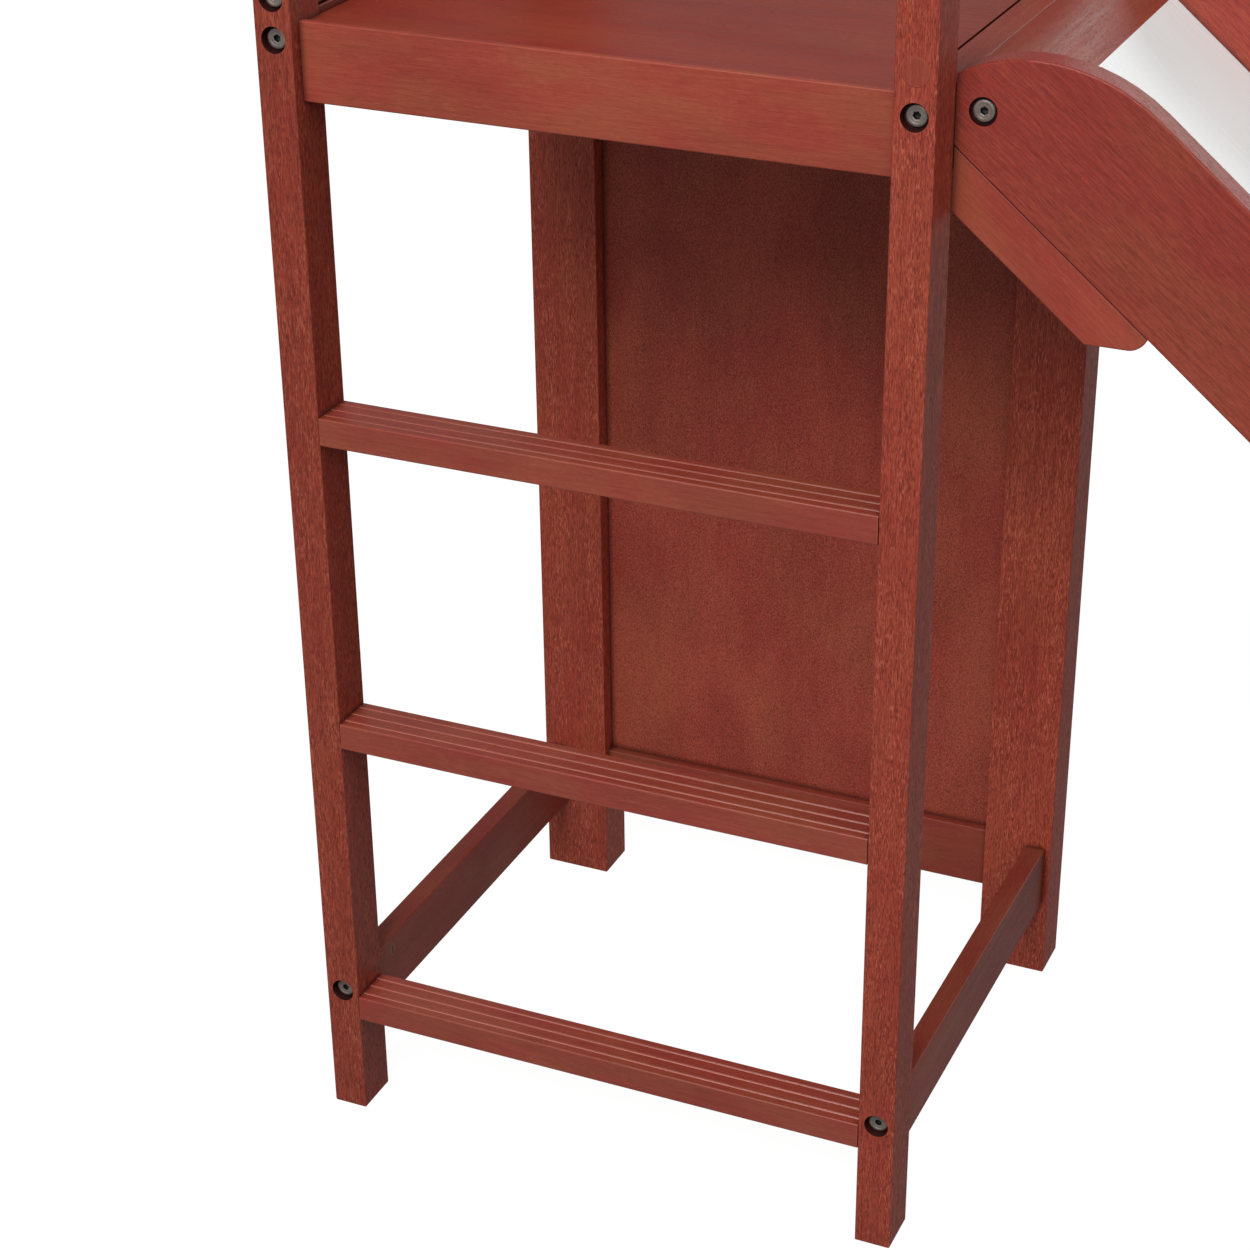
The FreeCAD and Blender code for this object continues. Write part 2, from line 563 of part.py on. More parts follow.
screws, screw_cuts = [], {0: [], 1: []}
hang = {}
for side, name in ((0, "slide_front_hanger_cleat"), (1, "slide_back_hanger_cleat")):
    y0 = SLIDE_Y0 + 1.2 if side == 0 else SLIDE_Y1 - 1.2 - CLEAT_T
    h = hanger(y0, y0 + CLEAT_T)
    yc = y0 + CLEAT_T / 2
    for x in (622.0, 676.0):
        p = V(x, yc, zline(x) - ck)
        a = V(S_, 0, C_)
        head_s = Part.makeCone(4.6, 2.4, 2.8, p, a)
        sh = Part.makeCylinder(2.4, 66.0 - 2.8, p + a * 2.8, a)
        sc = head_s.fuse(sh).Solids[0]
        screw_cuts[side].append(sc.copy())
        screws.append(sc.cut(hexagon(p.x, p.y, p.z, 3.0, 1.8, (a.x, a.y, a.z))).Solids[0])
    h = fillet_where(h, 1.5, lambda a, b: abs(a.y - b.y) < 0.01 and (a - b).Length > 30
                     and abs(a.x - b.x) > 20)
    hang[name] = h
    parts[name] = cut(h, *screw_cuts[side])

# side panels
for side, name in ((0, "slide_front_side"), (1, "slide_back_side")):
    y0 = SLIDE_Y0 if side == 0 else SLIDE_Y1 - SIDE_T
    s = prism(side_panel_edges(), y0, y0 + SIDE_T)
    a = 1 if side == 0 else -1
    # every outline edge of both faces is rounded, apart from the upper end
    es = [e for e in s.Edges if (abs(e.BoundBox.YMax - e.BoundBox.YMin) < 0.01
                                 and e.BoundBox.XMax > SLIDE_X0 + 0.5)]
    s = s.makeFillet(SIDE_EDGE, es)
    tools = [t for b, t in side_cuts if b == a] + [bed] + screw_cuts[side]
    parts[name] = cut(s, *tools)

# -------------------------------------------------------------- hardware
parts["frame_connector_bolts"] = group(bolts)
parts["frame_barrel_nuts"] = group(nuts)
parts["slide_side_bolts"] = group(side_bolts)
parts["slide_side_inserts"] = group(side_inserts)
parts["slide_mount_bolts"] = group(mount_bolts)
parts["slide_mount_inserts"] = group(mount_inserts)
parts["bed_joining_inserts"] = group(join_inserts)
parts["post_hole_plugs"] = group(plugs)
parts["ladder_dowels"] = group(ladder_dowels)
parts["side_rail_dowels"] = group(side_dowels)
parts["back_frame_dowels"] = group(back_dowels)
parts["hanger_cleat_screws"] = group(screws)
parts["deck_cleat_screws"] = group(cleat_screws)

# -------------------------------------------------------------------- export
SHIFT = V(-SLIDE_X1 / 2.0, -TOWER_D / 2.0, 0.0)
os.makedirs("parts", exist_ok=True)
for name, shape in parts.items():
    s = shape.copy()
    s.translate(SHIFT)
    s.exportStep("parts/" + name + ".step")
    ok = s.isValid() and all(q.isValid() and q.Volume > 0 for q in s.Solids)
    print("%-28s solids %2d  cm3 %9.1f  %s" % (name, len(s.Solids), s.Volume / 1000.0,
                                               "ok" if ok else "INVALID"))
print("slide end x %.2f, shift %.3f %.3f" % (SLIDE_X1, SHIFT.x, SHIFT.y))
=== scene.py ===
import math
import random
import bpy
import bmesh
from mathutils import Matrix, Vector


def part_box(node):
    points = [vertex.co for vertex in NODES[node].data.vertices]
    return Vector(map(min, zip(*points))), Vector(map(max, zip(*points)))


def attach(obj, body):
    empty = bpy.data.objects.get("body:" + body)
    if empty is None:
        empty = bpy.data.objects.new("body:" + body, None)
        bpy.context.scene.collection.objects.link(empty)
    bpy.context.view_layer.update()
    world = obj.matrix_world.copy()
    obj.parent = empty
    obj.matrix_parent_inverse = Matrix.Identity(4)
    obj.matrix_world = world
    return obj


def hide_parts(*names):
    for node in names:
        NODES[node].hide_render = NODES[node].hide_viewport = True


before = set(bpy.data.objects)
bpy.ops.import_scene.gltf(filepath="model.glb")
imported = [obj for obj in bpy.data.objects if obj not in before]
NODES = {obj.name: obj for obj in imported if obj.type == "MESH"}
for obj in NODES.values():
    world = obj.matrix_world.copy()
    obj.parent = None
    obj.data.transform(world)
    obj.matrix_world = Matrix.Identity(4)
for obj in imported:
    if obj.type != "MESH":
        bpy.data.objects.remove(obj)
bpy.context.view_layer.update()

SX, SY = -1.093349, -0.273150          # tower corner in the row frame, metres


def T(x, y, z):
    """A point given in millimetres from the tower's front left corner, in the row frame."""
    return Vector((x / 1000.0 + SX, y / 1000.0 + SY, z / 1000.0))


# ------------------------------------------------------------------ camera
cam_data = bpy.data.cameras.new("camera")
cam = bpy.data.objects.new("camera", cam_data)
bpy.context.scene.collection.objects.link(cam)
yaw, pitch = math.radians(-22.988), math.radians(-28.147)
fwd = Vector((math.sin(yaw) * math.cos(pitch), math.cos(yaw) * math.cos(pitch), math.sin(pitch)))
right = Vector((math.cos(yaw), -math.sin(yaw), 0.0))
up = right.cross(fwd)
rot = Matrix((right, up, -fwd)).transposed()
cam.matrix_world = Matrix.Translation(T(1214.91, -1930.35, 1689.33)) @ rot.to_4x4()
cam_data.sensor_fit = "HORIZONTAL"
cam_data.sensor_width = 36.0
cam_data.lens = 2760.63 / 1250.0 * 36.0
cam_data.shift_x = (625.0 - 697.77) / 1250.0
cam_data.shift_y = (675.19 - 625.0) / 1250.0
cam_data.clip_start, cam_data.clip_end = 0.05, 90.0
bpy.context.scene.camera = cam

# ------------------------------------------------------------ node helpers


class Tree:
    def __init__(self, mat):
        self.mat = mat
        mat.use_nodes = True
        self.t = mat.node_tree
        self.t.nodes.clear()
        self.out = self.n("ShaderNodeOutputMaterial")
        self.bsdf = self.n("ShaderNodeBsdfPrincipled")
        self.l(self.bsdf.outputs["BSDF"], self.out.inputs["Surface"])

    def n(self, kind, **kw):
        node = self.t.nodes.new(kind)
        for k, v in kw.items():
            setattr(node, k, v)
        return node

    def l(self, a, b):
        self.t.links.new(a, b)

    def val(self, socket, v):
        if isinstance(v, (int, float)):
            socket.default_value = v
        elif isinstance(v, (tuple, list)):
            socket.default_value = tuple(v) + ((1.0,) if len(v) == 3 and len(socket.default_value) == 4 else ())
        else:
            self.l(v, socket)

    def math(self, op, a, b=None, c=None, clamp=False):
        m = self.n("ShaderNodeMath", operation=op, use_clamp=clamp)
        self.val(m.inputs[0], a)
        if b is not None:
            self.val(m.inputs[1], b)
        if c is not None:
            self.val(m.inputs[2], c)
        return m.outputs[0]

    def sum(self, *terms):
        """Sum of (socket, weight) pairs."""
        out = None
        for s, w in terms:
            x = self.math("MULTIPLY", s, w)
            out = x if out is None else self.math("ADD", out, x)
        return out

    def mix(self, fac, a, b, blend="MIX"):
        m = self.n("ShaderNodeMix", data_type="RGBA", blend_type=blend)
        self.val(m.inputs[0], fac)
        self.val(m.inputs[6], a)
        self.val(m.inputs[7], b)
        return m.outputs[2]

    def ramp(self, fac, lo, hi, a=0.0, b=1.0, smooth=True):
        m = self.n("ShaderNodeMapRange")
        m.interpolation_type = "SMOOTHSTEP" if smooth else "LINEAR"
        self.val(m.inputs[0], fac)
        m.inputs[1].default_value = lo
        m.inputs[2].default_value = hi
        m.inputs[3].default_value = a
        m.inputs[4].default_value = b
        return m.outputs[0]

    def noise(self, vec, scale, detail=2.0, rough=0.5, distort=0.0):
        m = self.n("ShaderNodeTexNoise")
        self.l(vec, m.inputs["Vector"])
        m.inputs["Scale"].default_value = scale
        m.inputs["Detail"].default_value = detail
        m.inputs["Roughness"].default_value = rough
        m.inputs["Distortion"].default_value = distort
        return m.outputs["Fac"]

    def scaled(self, vec, s, shift=(0, 0, 0)):
        m = self.n("ShaderNodeMapping")
        m.vector_type = "POINT"
        self.l(vec, m.inputs["Vector"])
        m.inputs["Scale"].default_value = s
        m.inputs["Location"].default_value = shift
        return m.outputs["Vector"]

    def object_coords(self):
        return self.n("ShaderNodeTexCoord").outputs["Object"]

    def board_coords(self, grain, shift):
        """Object coordinates turned so that +X runs along the grain."""
        g = Vector(grain).normalized()
        side = Vector((0, 0, 1)) if abs(g.z) < 0.9 else Vector((0, 1, 0))
        v = side.cross(g).normalized()
        w = g.cross(v).normalized()
        m = Matrix((g, v, w))                       # rows: new axes
        mp = self.n("ShaderNodeMapping")
        mp.vector_type = "POINT"
        self.l(self.object_coords(), mp.inputs["Vector"])
        mp.inputs["Rotation"].default_value = m.to_euler("XYZ")
        mp.inputs["Location"].default_value = shift
        return mp.outputs["Vector"]

    def facing(self, direction):
        """Cosine between the surface normal and a fixed direction."""
        geo = self.n("ShaderNodeNewGeometry")
        d = self.n("ShaderNodeVectorMath", operation="DOT_PRODUCT")
        self.l(geo.outputs["True Normal"], d.inputs[0])
        d.inputs[1].default_value = direction
        return d.outputs["Value"]

    def edge(self, radius):
        """0 on flats, rising on edges: bevelled against true normal."""
        bev = self.n("ShaderNodeBevel", samples=4)
        bev.inputs["Radius"].default_value = radius
        geo = self.n("ShaderNodeNewGeometry")
        d = self.n("ShaderNodeVectorMath", operation="DOT_PRODUCT")
        self.l(bev.outputs["Normal"], d.inputs[0])
        self.l(geo.outputs["True Normal"], d.inputs[1])
        return self.math("SUBTRACT", 1.0, d.outputs["Value"], clamp=True)

    def bump(self, height, strength, distance):
        b = self.n("ShaderNodeBump")
        b.inputs["Strength"].default_value = strength
        b.inputs["Distance"].default_value = distance
        self.l(height, b.inputs["Height"])
        self.l(b.outputs["Normal"], self.bsdf.inputs["Normal"])


# ---------------------------------------------------------------- materials
# colours are linear
MID = (0.300, 0.0440, 0.0232)
# fleck: short light flecks; streak: long grain; cloud: broad figure;
# hair: finest lines; ring: growth rings
STYLES = {
    "post": dict(fleck=0.92, pore=0.78, streak=0.34, cloud=0.34, hair=0.95, ring=0.06, hue=0.60, rough=0.46, edge_rub_and_highlight=0.45,
                 bump=0.60, broad=(4.0, 18.0), line=(7.0, 240.0), thread=(72.0, 920.0), dash=(150.0, 900.0),
                 cast=(0.96, 0.95, 1.00)),
    "board": dict(fleck=0.16, pore=0.24, streak=0.13, cloud=0.50, hair=0.36, ring=0.05, hue=0.95, rough=0.42, edge_rub_and_highlight=0.55,
                  bump=0.35, broad=(7.0, 18.0), line=(6.0, 260.0), thread=(44.0, 1000.0), dash=(120.0, 1000.0),
                  cast=(0.95, 1.12, 1.22)),
    "tread": dict(fleck=0.16, pore=0.24, streak=0.13, cloud=0.46, hair=0.36, ring=0.05, hue=0.85, rough=0.36, edge_rub_and_highlight=0.55,
                  bump=0.32, broad=(7.0, 18.0), line=(6.0, 260.0), thread=(44.0, 1000.0), dash=(120.0, 1000.0),
                  cast=(0.96, 1.10, 1.22), spec=0.62),
    "slide": dict(fleck=0.20, pore=0.36, streak=0.16, cloud=0.34, hair=0.70, ring=0.05, hue=0.95, rough=0.42, edge_rub_and_highlight=0.06,
                  bump=0.45, broad=(3.5, 8.0), line=(9.0, 360.0), thread=(52.0, 900.0), dash=(120.0, 900.0),
                  cast=(0.95, 0.98, 1.14)),
    "panel": dict(fleck=0.48, pore=0.75, streak=0.10, cloud=0.95, hair=1.20, ring=0.015, hue=1.00, rough=0.50, edge_rub_and_highlight=0.4,
                  bump=0.45, broad=(4.4, 7.0), line=(14.0, 160.0), thread=(420.0, 760.0), dash=(520.0, 820.0),
                  cast=(1.07, 1.17, 1.32)),
    "deck": dict(fleck=0.05, pore=0.20, streak=0.26, cloud=0.50, hair=0.42, ring=0.04, hue=0.85, rough=0.36, edge_rub_and_highlight=0.35,
                 bump=0.24, broad=(3.0, 9.0), line=(4.0, 170.0), thread=(34.0, 860.0), dash=(110.0, 1000.0),
                 cast=(0.89, 0.73, 0.68)),
}


def wood(name, grain, style, seed, tint=1.0, grooves=None):
    p = STYLES[style]
    rnd = random.Random(seed)
    mat = bpy.data.materials.new("wood_" + name)
    t = Tree(mat)
    sh = tuple(rnd.uniform(-9, 9) for _ in range(3))
    v = t.board_coords(grain, sh)
    def dims(key, k=1.0):
        along, across = p[key]
        return (along * k, across * k, across * k)
    cloud = t.noise(t.scaled(v, dims("broad")), 1.0, 3.0, 0.5, 0.6)
    hue = t.noise(t.scaled(v, dims("broad", 1.5), (4.0, 1.0, 7.0)), 1.0, 3.0, 0.5, 0.5)
    streak = t.noise(t.scaled(v, dims("line")), 1.0, 4.0, 0.60, 0.2)
    hair = t.noise(t.scaled(v, dims("thread")), 1.0, 2.0, 0.55)
    fleck = t.noise(t.scaled(v, dims("dash"), (3.1, 0.7, 1.9)), 1.0, 1.0, 0.5)
    pore = t.noise(t.scaled(v, dims("dash", 1.25), (1.3, 5.7, 0.4)), 1.0, 1.0, 0.5)
    # growth rings round a pith that lies outside the board
    warp = t.noise(t.scaled(v, (1.7, 8.0, 8.0)), 1.0, 2.0)
    sep = t.n("ShaderNodeSeparateXYZ")
    t.l(v, sep.inputs[0])
    a = rnd.uniform(0, 6.28)
    ry = t.math("ADD", sep.outputs["Y"], -sh[1] + 0.075 * math.cos(a))
    rz = t.math("ADD", sep.outputs["Z"], -sh[2] + 0.075 * math.sin(a))
    rad = t.math("SQRT", t.math("ADD", t.math("MULTIPLY", ry, ry), t.math("MULTIPLY", rz, rz)))
    ring = t.math("SINE", t.math("ADD", t.math("MULTIPLY", rad, 1250.0), t.math("MULTIPLY", warp, 42.0)))

    mid = [c * tint * k for c, k in zip(MID, p["cast"])]
    dark = [mid[0] * 0.56, mid[1] * 0.50, mid[2] * 0.55]
    light = [mid[0] * 1.34, mid[1] * 1.62 + 0.003, mid[2] * 1.50 + 0.002]
    brown = [mid[0] * 0.98, mid[1] * 1.22, mid[2] * 1.10]
    red = [mid[0] * 1.00, mid[1] * 0.82, mid[2] * 0.98]
    tan = [mid[0] * 1.55, mid[1] * 2.55, mid[2] * 2.55]

    h0 = 0.5 * p["hue"]
    base = t.mix(t.ramp(hue, 0.34, 0.66, 0.5 - h0, 0.5 + h0), red, brown)
    s = t.sum((t.ramp(cloud, 0.28, 0.72, -1, 1), 0.45 * p["cloud"]),
              (t.ramp(streak, 0.30, 0.70, -1, 1), 0.55 * p["streak"]),
              (t.ramp(hair, 0.30, 0.70, -1, 1), 0.50 * p["hair"]),
              (ring, p["ring"]))
    col = t.mix(t.math("MULTIPLY", s, 1.0, clamp=True), base, light)
    col = t.mix(t.math("MULTIPLY", s, -1.0, clamp=True), col, dark)
    # flecks come in drifts
    drift = t.ramp(t.noise(t.scaled(v, (9.0, 60.0, 60.0), (2, 2, 5)), 1.0, 2.0), 0.35, 0.65, 0.35, 1.0)
    col = t.mix(t.math("MULTIPLY", t.ramp(fleck, 0.52, 0.66, 0.0, p["fleck"]), drift), col, tan)
    poremask = t.ramp(pore, 0.55, 0.68)
    col = t.mix(t.math("MULTIPLY", poremask, p["pore"]), col, [c * 0.42 for c in mid])
    # end grain drinks more stain
    g = Vector(grain).normalized()
    end = t.ramp(t.math("ABSOLUTE", t.facing(g)), 0.80, 0.97)
    col = t.mix(t.math("MULTIPLY", end, 0.75), col,
                t.mix(t.ramp(ring, -0.6, 0.9), [c * 0.42 for c in mid], [c * 0.68 for c in mid]))
    # edges are lighter: the stain is rubbed through here and there, and a painted highlight runs along the edges
    e = t.edge(0.0028)
    rub = t.ramp(t.noise(t.scaled(v, (26.0, 60.0, 60.0)), 1.0, 4.0, 0.6), 0.36, 0.66, 0.30, 1.0)
    edge_wear_and_highlight = t.math("MULTIPLY", t.ramp(e, 0.015, 0.20, 0.0, p["edge_rub_and_highlight"]), rub)
    col = t.mix(edge_wear_and_highlight, col, [mid[0] * 1.50, mid[1] * 2.0, mid[2] * 1.9])
    # faint scuffs
    scuff = t.ramp(t.noise(t.scaled(v, (14.0, 48.0, 48.0), (8, 3, 1)), 1.0, 5.0, 0.7), 0.62, 0.74)
    col = t.mix(t.math("MULTIPLY", scuff, 0.10), col, light)
    # painted shade: a near-black colour darkens holes and inner corners, driven by ambient occlusion
    recess_shade_ao = t.n("ShaderNodeAmbientOcclusion", samples=8, only_local=True)
    recess_shade_ao.inputs["Distance"].default_value = 0.030
    col = t.mix(t.ramp(recess_shade_ao.outputs["AO"], 0.50, 0.93, 0.93, 0.0, False), col, [mid[0] * 0.06, mid[1] * 0.08, mid[2] * 0.12])
    # painted shade: darker where two pieces meet, a soft contact shadow driven by ambient occlusion
    seam_shade_ao = t.n("ShaderNodeAmbientOcclusion", samples=8, only_local=False)
    seam_shade_ao.inputs["Distance"].default_value = 0.0085
    col = t.mix(t.ramp(seam_shade_ao.outputs["AO"], 0.42, 0.90, 0.80, 0.0, False), col, [mid[0] * 0.12, mid[1] * 0.10, mid[2] * 0.14])
    # painted highlight: thin lighter lines along the grooves, where light catches the groove walls
    if grooves:
        gy, half, ztop = grooves
        pos = t.n("ShaderNodeSeparateXYZ")
        t.l(t.object_coords(), pos.inputs[0])
        m = None
        for y0 in gy:
            d = t.math("ABSOLUTE", t.math("SUBTRACT", pos.outputs["Y"], y0))
            k = t.ramp(d, half + 0.0002, half - 0.0002)
            m = k if m is None else t.math("MAXIMUM", m, k)
        m = t.math("MULTIPLY", m, t.ramp(pos.outputs["Z"], ztop - 0.004, ztop - 0.003))
        col = t.mix(m, col, t.mix(t.ramp(streak, 0.35, 0.65), [mid[0] * 1.60, mid[1] * 2.0, mid[2] * 2.0],
                                  [mid[0] * 1.95, mid[1] * 2.7, mid[2] * 2.7]))
    t.l(col, t.bsdf.inputs["Base Color"])

    r = t.math("ADD", p["rough"], t.sum((t.ramp(streak, 0.3, 0.7, -1, 1), 0.05), (poremask, 0.12),
                                        (scuff, 0.08), (end, 0.14)))
    t.l(r, t.bsdf.inputs["Roughness"])
    t.bsdf.inputs["IOR"].default_value = 1.45
    t.bsdf.inputs["Specular IOR Level"].default_value = p.get("spec", 0.36)
    h = t.sum((streak, 0.45), (hair, 0.40), (poremask, -0.65), (t.ramp(ring, -1, 1), 0.08))
    t.bump(h, p["bump"], 0.00022)
    return mat


def beech(name, grain, seed):
    """Unstained hardwood, for the dowels."""
    rnd = random.Random(seed)
    mat = bpy.data.materials.new("raw_" + name)
    t = Tree(mat)
    v = t.board_coords(grain, tuple(rnd.uniform(-9, 9) for _ in range(3)))
    streak = t.noise(t.scaled(v, (9.0, 260.0, 260.0)), 1.0, 4.0, 0.6)
    ray = t.noise(t.scaled(v, (260.0, 1500.0, 1500.0)), 1.0, 1.0)
    col = t.mix(t.ramp(streak, 0.3, 0.7), (0.50, 0.33, 0.185), (0.62, 0.44, 0.27))
    col = t.mix(t.ramp(ray, 0.60, 0.72, 0.0, 0.5), col, (0.36, 0.215, 0.11))
    col = t.mix(t.ramp(t.edge(0.0012), 0.02, 0.25, 0.0, 0.35), col, (0.66, 0.49, 0.31))
    t.l(col, t.bsdf.inputs["Base Color"])
    t.l(t.math("ADD", 0.58, t.math("MULTIPLY", t.ramp(streak, 0.3, 0.7, -1, 1), 0.06)), t.bsdf.inputs["Roughness"])
    t.bump(t.sum((streak, 0.5), (ray, -0.4)), 0.4, 0.00015)
    return mat


TH = math.radians(39.6)
SLOPE = (math.cos(TH), 0.0, -math.sin(TH))


def bed_material():
    """White laminate on top of thin plies, with a sanded ply underside."""
    base = (0.915, 0.955, 0.945)
    mat = bpy.data.materials.new("slide_laminate")
    t = Tree(mat)
    v = t.board_coords(SLOPE, (0.3, 1.1, 2.0))
    cloud = t.noise(t.scaled(v, (3.0, 5.0, 5.0)), 1.0, 3.0)
    haze = t.noise(t.scaled(v, (6.0, 240.0, 240.0)), 1.0, 3.0, 0.6)
    speck = t.noise(t.scaled(v, (420.0, 420.0, 420.0)), 1.0, 2.0)
    scr = t.noise(t.scaled(v, (2.2, 900.0, 900.0), (5, 2, 8)), 1.0, 1.0)
    s = t.sum((t.ramp(cloud, 0.3, 0.7, -0.5, 0.5), 0.7), (t.ramp(haze, 0.3, 0.7, -0.35, 0.35), 0.7))
    col = t.mix(t.math("ADD", 0.5, s, clamp=True), [c * 0.965 for c in base], base)
    col = t.mix(t.ramp(speck, 0.66, 0.76, 0.0, 0.10), col, [c * 0.78 for c in base])
    scm = t.ramp(scr, 0.68, 0.76)
    # plies: thin bands across the board's thickness, seen on its ends
    z = t.n("ShaderNodeSeparateXYZ")
    t.l(t.object_coords(), z.inputs[0])
    band = t.math("SINE", t.math("MULTIPLY", z.outputs["Z"], 2 * math.pi / 0.0029))
    fibre = t.noise(t.scaled(t.object_coords(), (700.0, 60.0, 900.0)), 1.0, 3.0)
    ply = t.mix(t.ramp(band, -0.5, 0.5), (0.46, 0.30, 0.165), (0.62, 0.45, 0.28))
    ply = t.mix(t.ramp(fibre, 0.35, 0.7, 0.0, 0.5), ply, (0.36, 0.225, 0.12))
    under = t.noise(t.scaled(v, (5.0, 120.0, 120.0), (3, 8, 1)), 1.0, 4.0, 0.6)
    pore = t.noise(t.scaled(v, (90.0, 1200.0, 1200.0)), 1.0, 1.0)
    back = t.mix(t.ramp(under, 0.3, 0.7), (0.50, 0.345, 0.20), (0.61, 0.45, 0.285))
    back = t.mix(t.ramp(pore, 0.6, 0.72, 0.0, 0.4), back, (0.33, 0.20, 0.10))
    nz = t.facing((0, 0, 1))
    col = t.mix(t.ramp(nz, 0.25, 0.45), ply, col)
    col = t.mix(t.ramp(nz, -0.30, -0.50), col, back)
    t.l(col, t.bsdf.inputs["Base Color"])
    r = t.math("ADD", 0.27, t.sum((t.ramp(cloud, 0.3, 0.7, -1, 1), 0.03), (scm, 0.10),
                                  (t.ramp(nz, 0.45, 0.25), 0.30)))
    t.l(r, t.bsdf.inputs["Roughness"])
    t.bsdf.inputs["IOR"].default_value = 1.48
    t.bump(t.sum((speck, 0.5), (scm, -0.6)), 0.25, 0.0001)
    return mat


def metal(name, base, rough, metallic=1.0, scale=900.0, spec=0.5):
    mat = bpy.data.materials.new(name)
    t = Tree(mat)
    v = t.object_coords()
    a = t.noise(t.scaled(v, (scale,) * 3), 1.0, 3.0)
    c = t.noise(t.scaled(v, (170.0,) * 3), 1.0, 3.0)
    pit = t.ramp(t.noise(t.scaled(v, (1500.0,) * 3), 1.0, 1.0), 0.66, 0.76)
    e = t.edge(0.0005)
    col = t.mix(t.ramp(c, 0.3, 0.7), [x * 0.80 for x in base], [min(1, x * 1.18) for x in base])
    col = t.mix(t.math("MULTIPLY", pit, 0.35), col, [x * 0.45 for x in base])
    col = t.mix(t.ramp(e, 0.03, 0.3, 0.0, 0.55), col, [min(1, x * 1.7 + 0.03) for x in base])
    # painted shade: a near-black colour darkens the recesses of the hardware, driven by ambient occlusion
    recess_shade_ao = t.n("ShaderNodeAmbientOcclusion", samples=8, only_local=True)
    recess_shade_ao.inputs["Distance"].default_value = 0.0045
    col = t.mix(t.ramp(recess_shade_ao.outputs["AO"], 0.15, 0.75, 0.96, 0.0, False), col, (0.004, 0.0035, 0.003))
    t.l(col, t.bsdf.inputs["Base Color"])
    t.bsdf.inputs["Metallic"].default_value = metallic
    t.l(t.math("ADD", rough, t.sum((t.ramp(a, 0.3, 0.7, -1, 1), 0.08), (pit, 0.15))), t.bsdf.inputs["Roughness"])
    t.bump(t.sum((a, 0.6), (pit, -0.6)), 0.3, 0.00006)
    return mat


X, Y, Z = (1, 0, 0), (0, 1, 0), (0, 0, 1)
WOOD = {
    "front_left_post": (Z, "post", 0.86), "front_right_post": (Z, "post", 1.0),
    "back_left_post": (Z, "post", 1.20), "back_right_post": (Z, "post", 1.27),
    "ladder_tread_lower": (X, "tread", 0.95), "ladder_tread_middle": (X, "tread", 0.95),
    "ladder_tread_upper": (X, "tread", 0.95),
    "front_deck_apron": (X, "board", 1.05), "left_deck_apron": (Y, "board", 0.95),
    "right_deck_apron": (Y, "board", 1.0), "back_deck_apron": (X, "board", 0.97),
    "deck_panel": (X, "deck", 0.98),
    "left_deck_cleat": (Y, "board", 0.95), "right_deck_cleat": (Y, "board", 0.95),
    "back_panel": (Z, "panel", 1.06), "back_panel_bottom_rail": (X, "board", 0.95),
    "left_bottom_stretcher": (Y, "board", 0.95), "right_bottom_stretcher": (Y, "board", 0.95),
    "guard_board_lower": (Y, "board", 0.98), "guard_board_middle": (Y, "board", 1.0),
    "guard_board_upper": (Y, "board", 0.97),
    "slide_crossbar_upper": (Y, "board", 0.95), "slide_crossbar_middle": (Y, "board", 0.98),
    "slide_crossbar_lower": (Y, "board", 0.94), "slide_exit_bar": (Y, "board", 0.96),
    "slide_head_block": (Y, "board", 0.98),
    "slide_front_hanger_cleat": (SLOPE, "board", 1.11), "slide_back_hanger_cleat": (SLOPE, "board", 1.0),
    "slide_front_side": (SLOPE, "slide", 0.94), "slide_back_side": (SLOPE, "slide", 1.08),
    "post_hole_plugs": (Z, "board", 1.04),
}
MATS = {}
GROOVE_Y = (9.9, 23.65, 37.4)
for i, (n, (g, s, tint)) in enumerate(sorted(WOOD.items())):
    groove_highlight = None
    if "tread" in n:
        groove_highlight = ([T(0, y, 0).y for y in GROOVE_Y], 0.00075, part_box(n)[1].z)
    MATS[n] = wood(n, g, s, 101 + 7 * i, tint, groove_highlight)
MATS["slide_bed"] = bed_material()
for n, g in (("ladder_dowels", X), ("side_rail_dowels", Y), ("back_frame_dowels", X)):
    MATS[n] = beech(n, g, 11 + len(n))
bronze = metal("bolt_bronze", (0.235, 0.190, 0.168), 0.50, 0.55)
# painted shade: a near-black material for the insides of the hex sockets
socket_shade_mat = metal("bolt_socket_painted_shade", (0.020, 0.017, 0.015), 0.60, 0.3)
nutmat = metal("nut_bronze", (0.27, 0.105, 0.075), 0.52, 0.25)
zinc = metal("zinc_steel", (0.55, 0.55, 0.52), 0.33)
for n in ("frame_connector_bolts", "slide_side_bolts", "slide_mount_bolts"):
    MATS[n] = bronze
MATS["frame_barrel_nuts"] = nutmat
for n in ("slide_side_inserts", "slide_mount_inserts", "bed_joining_inserts", "hanger_cleat_screws",
          "deck_cleat_screws"):
    MATS[n] = zinc
for n, o in NODES.items():
    o.data.materials.clear()
    o.data.materials.append(MATS[n])

# --------------------------------------------------- bolts, as turned pieces


def islands(obj):
    """Vertex groups of the separate solids in a node's mesh."""
    me = obj.data
    key = {}
    rep = []
    for v in me.vertices:                      # weld by place: the mesh is split at sharp edges
        k = (round(v.co.x, 6), round(v.co.y, 6), round(v.co.z, 6))
        rep.append(key.setdefault(k, v.index))
    parent = list(range(len(me.vertices)))

    def find(a):
        while parent[a] != a:
            parent[a] = parent[parent[a]]
            a = parent[a]
        return a
    for p in me.polygons:
        ids = [rep[i] for i in p.vertices]
        for i in ids[1:]:
            parent[find(i)] = find(ids[0])
    out = {}
    for i in range(len(me.vertices)):
        out.setdefault(find(rep[i]), []).append(me.vertices[i].co.copy())
    return sorted(out.values(), key=lambda c: tuple(round(x, 5) for x in c[0]))


HEX_R = 0.0030 / math.cos(math.radians(30))


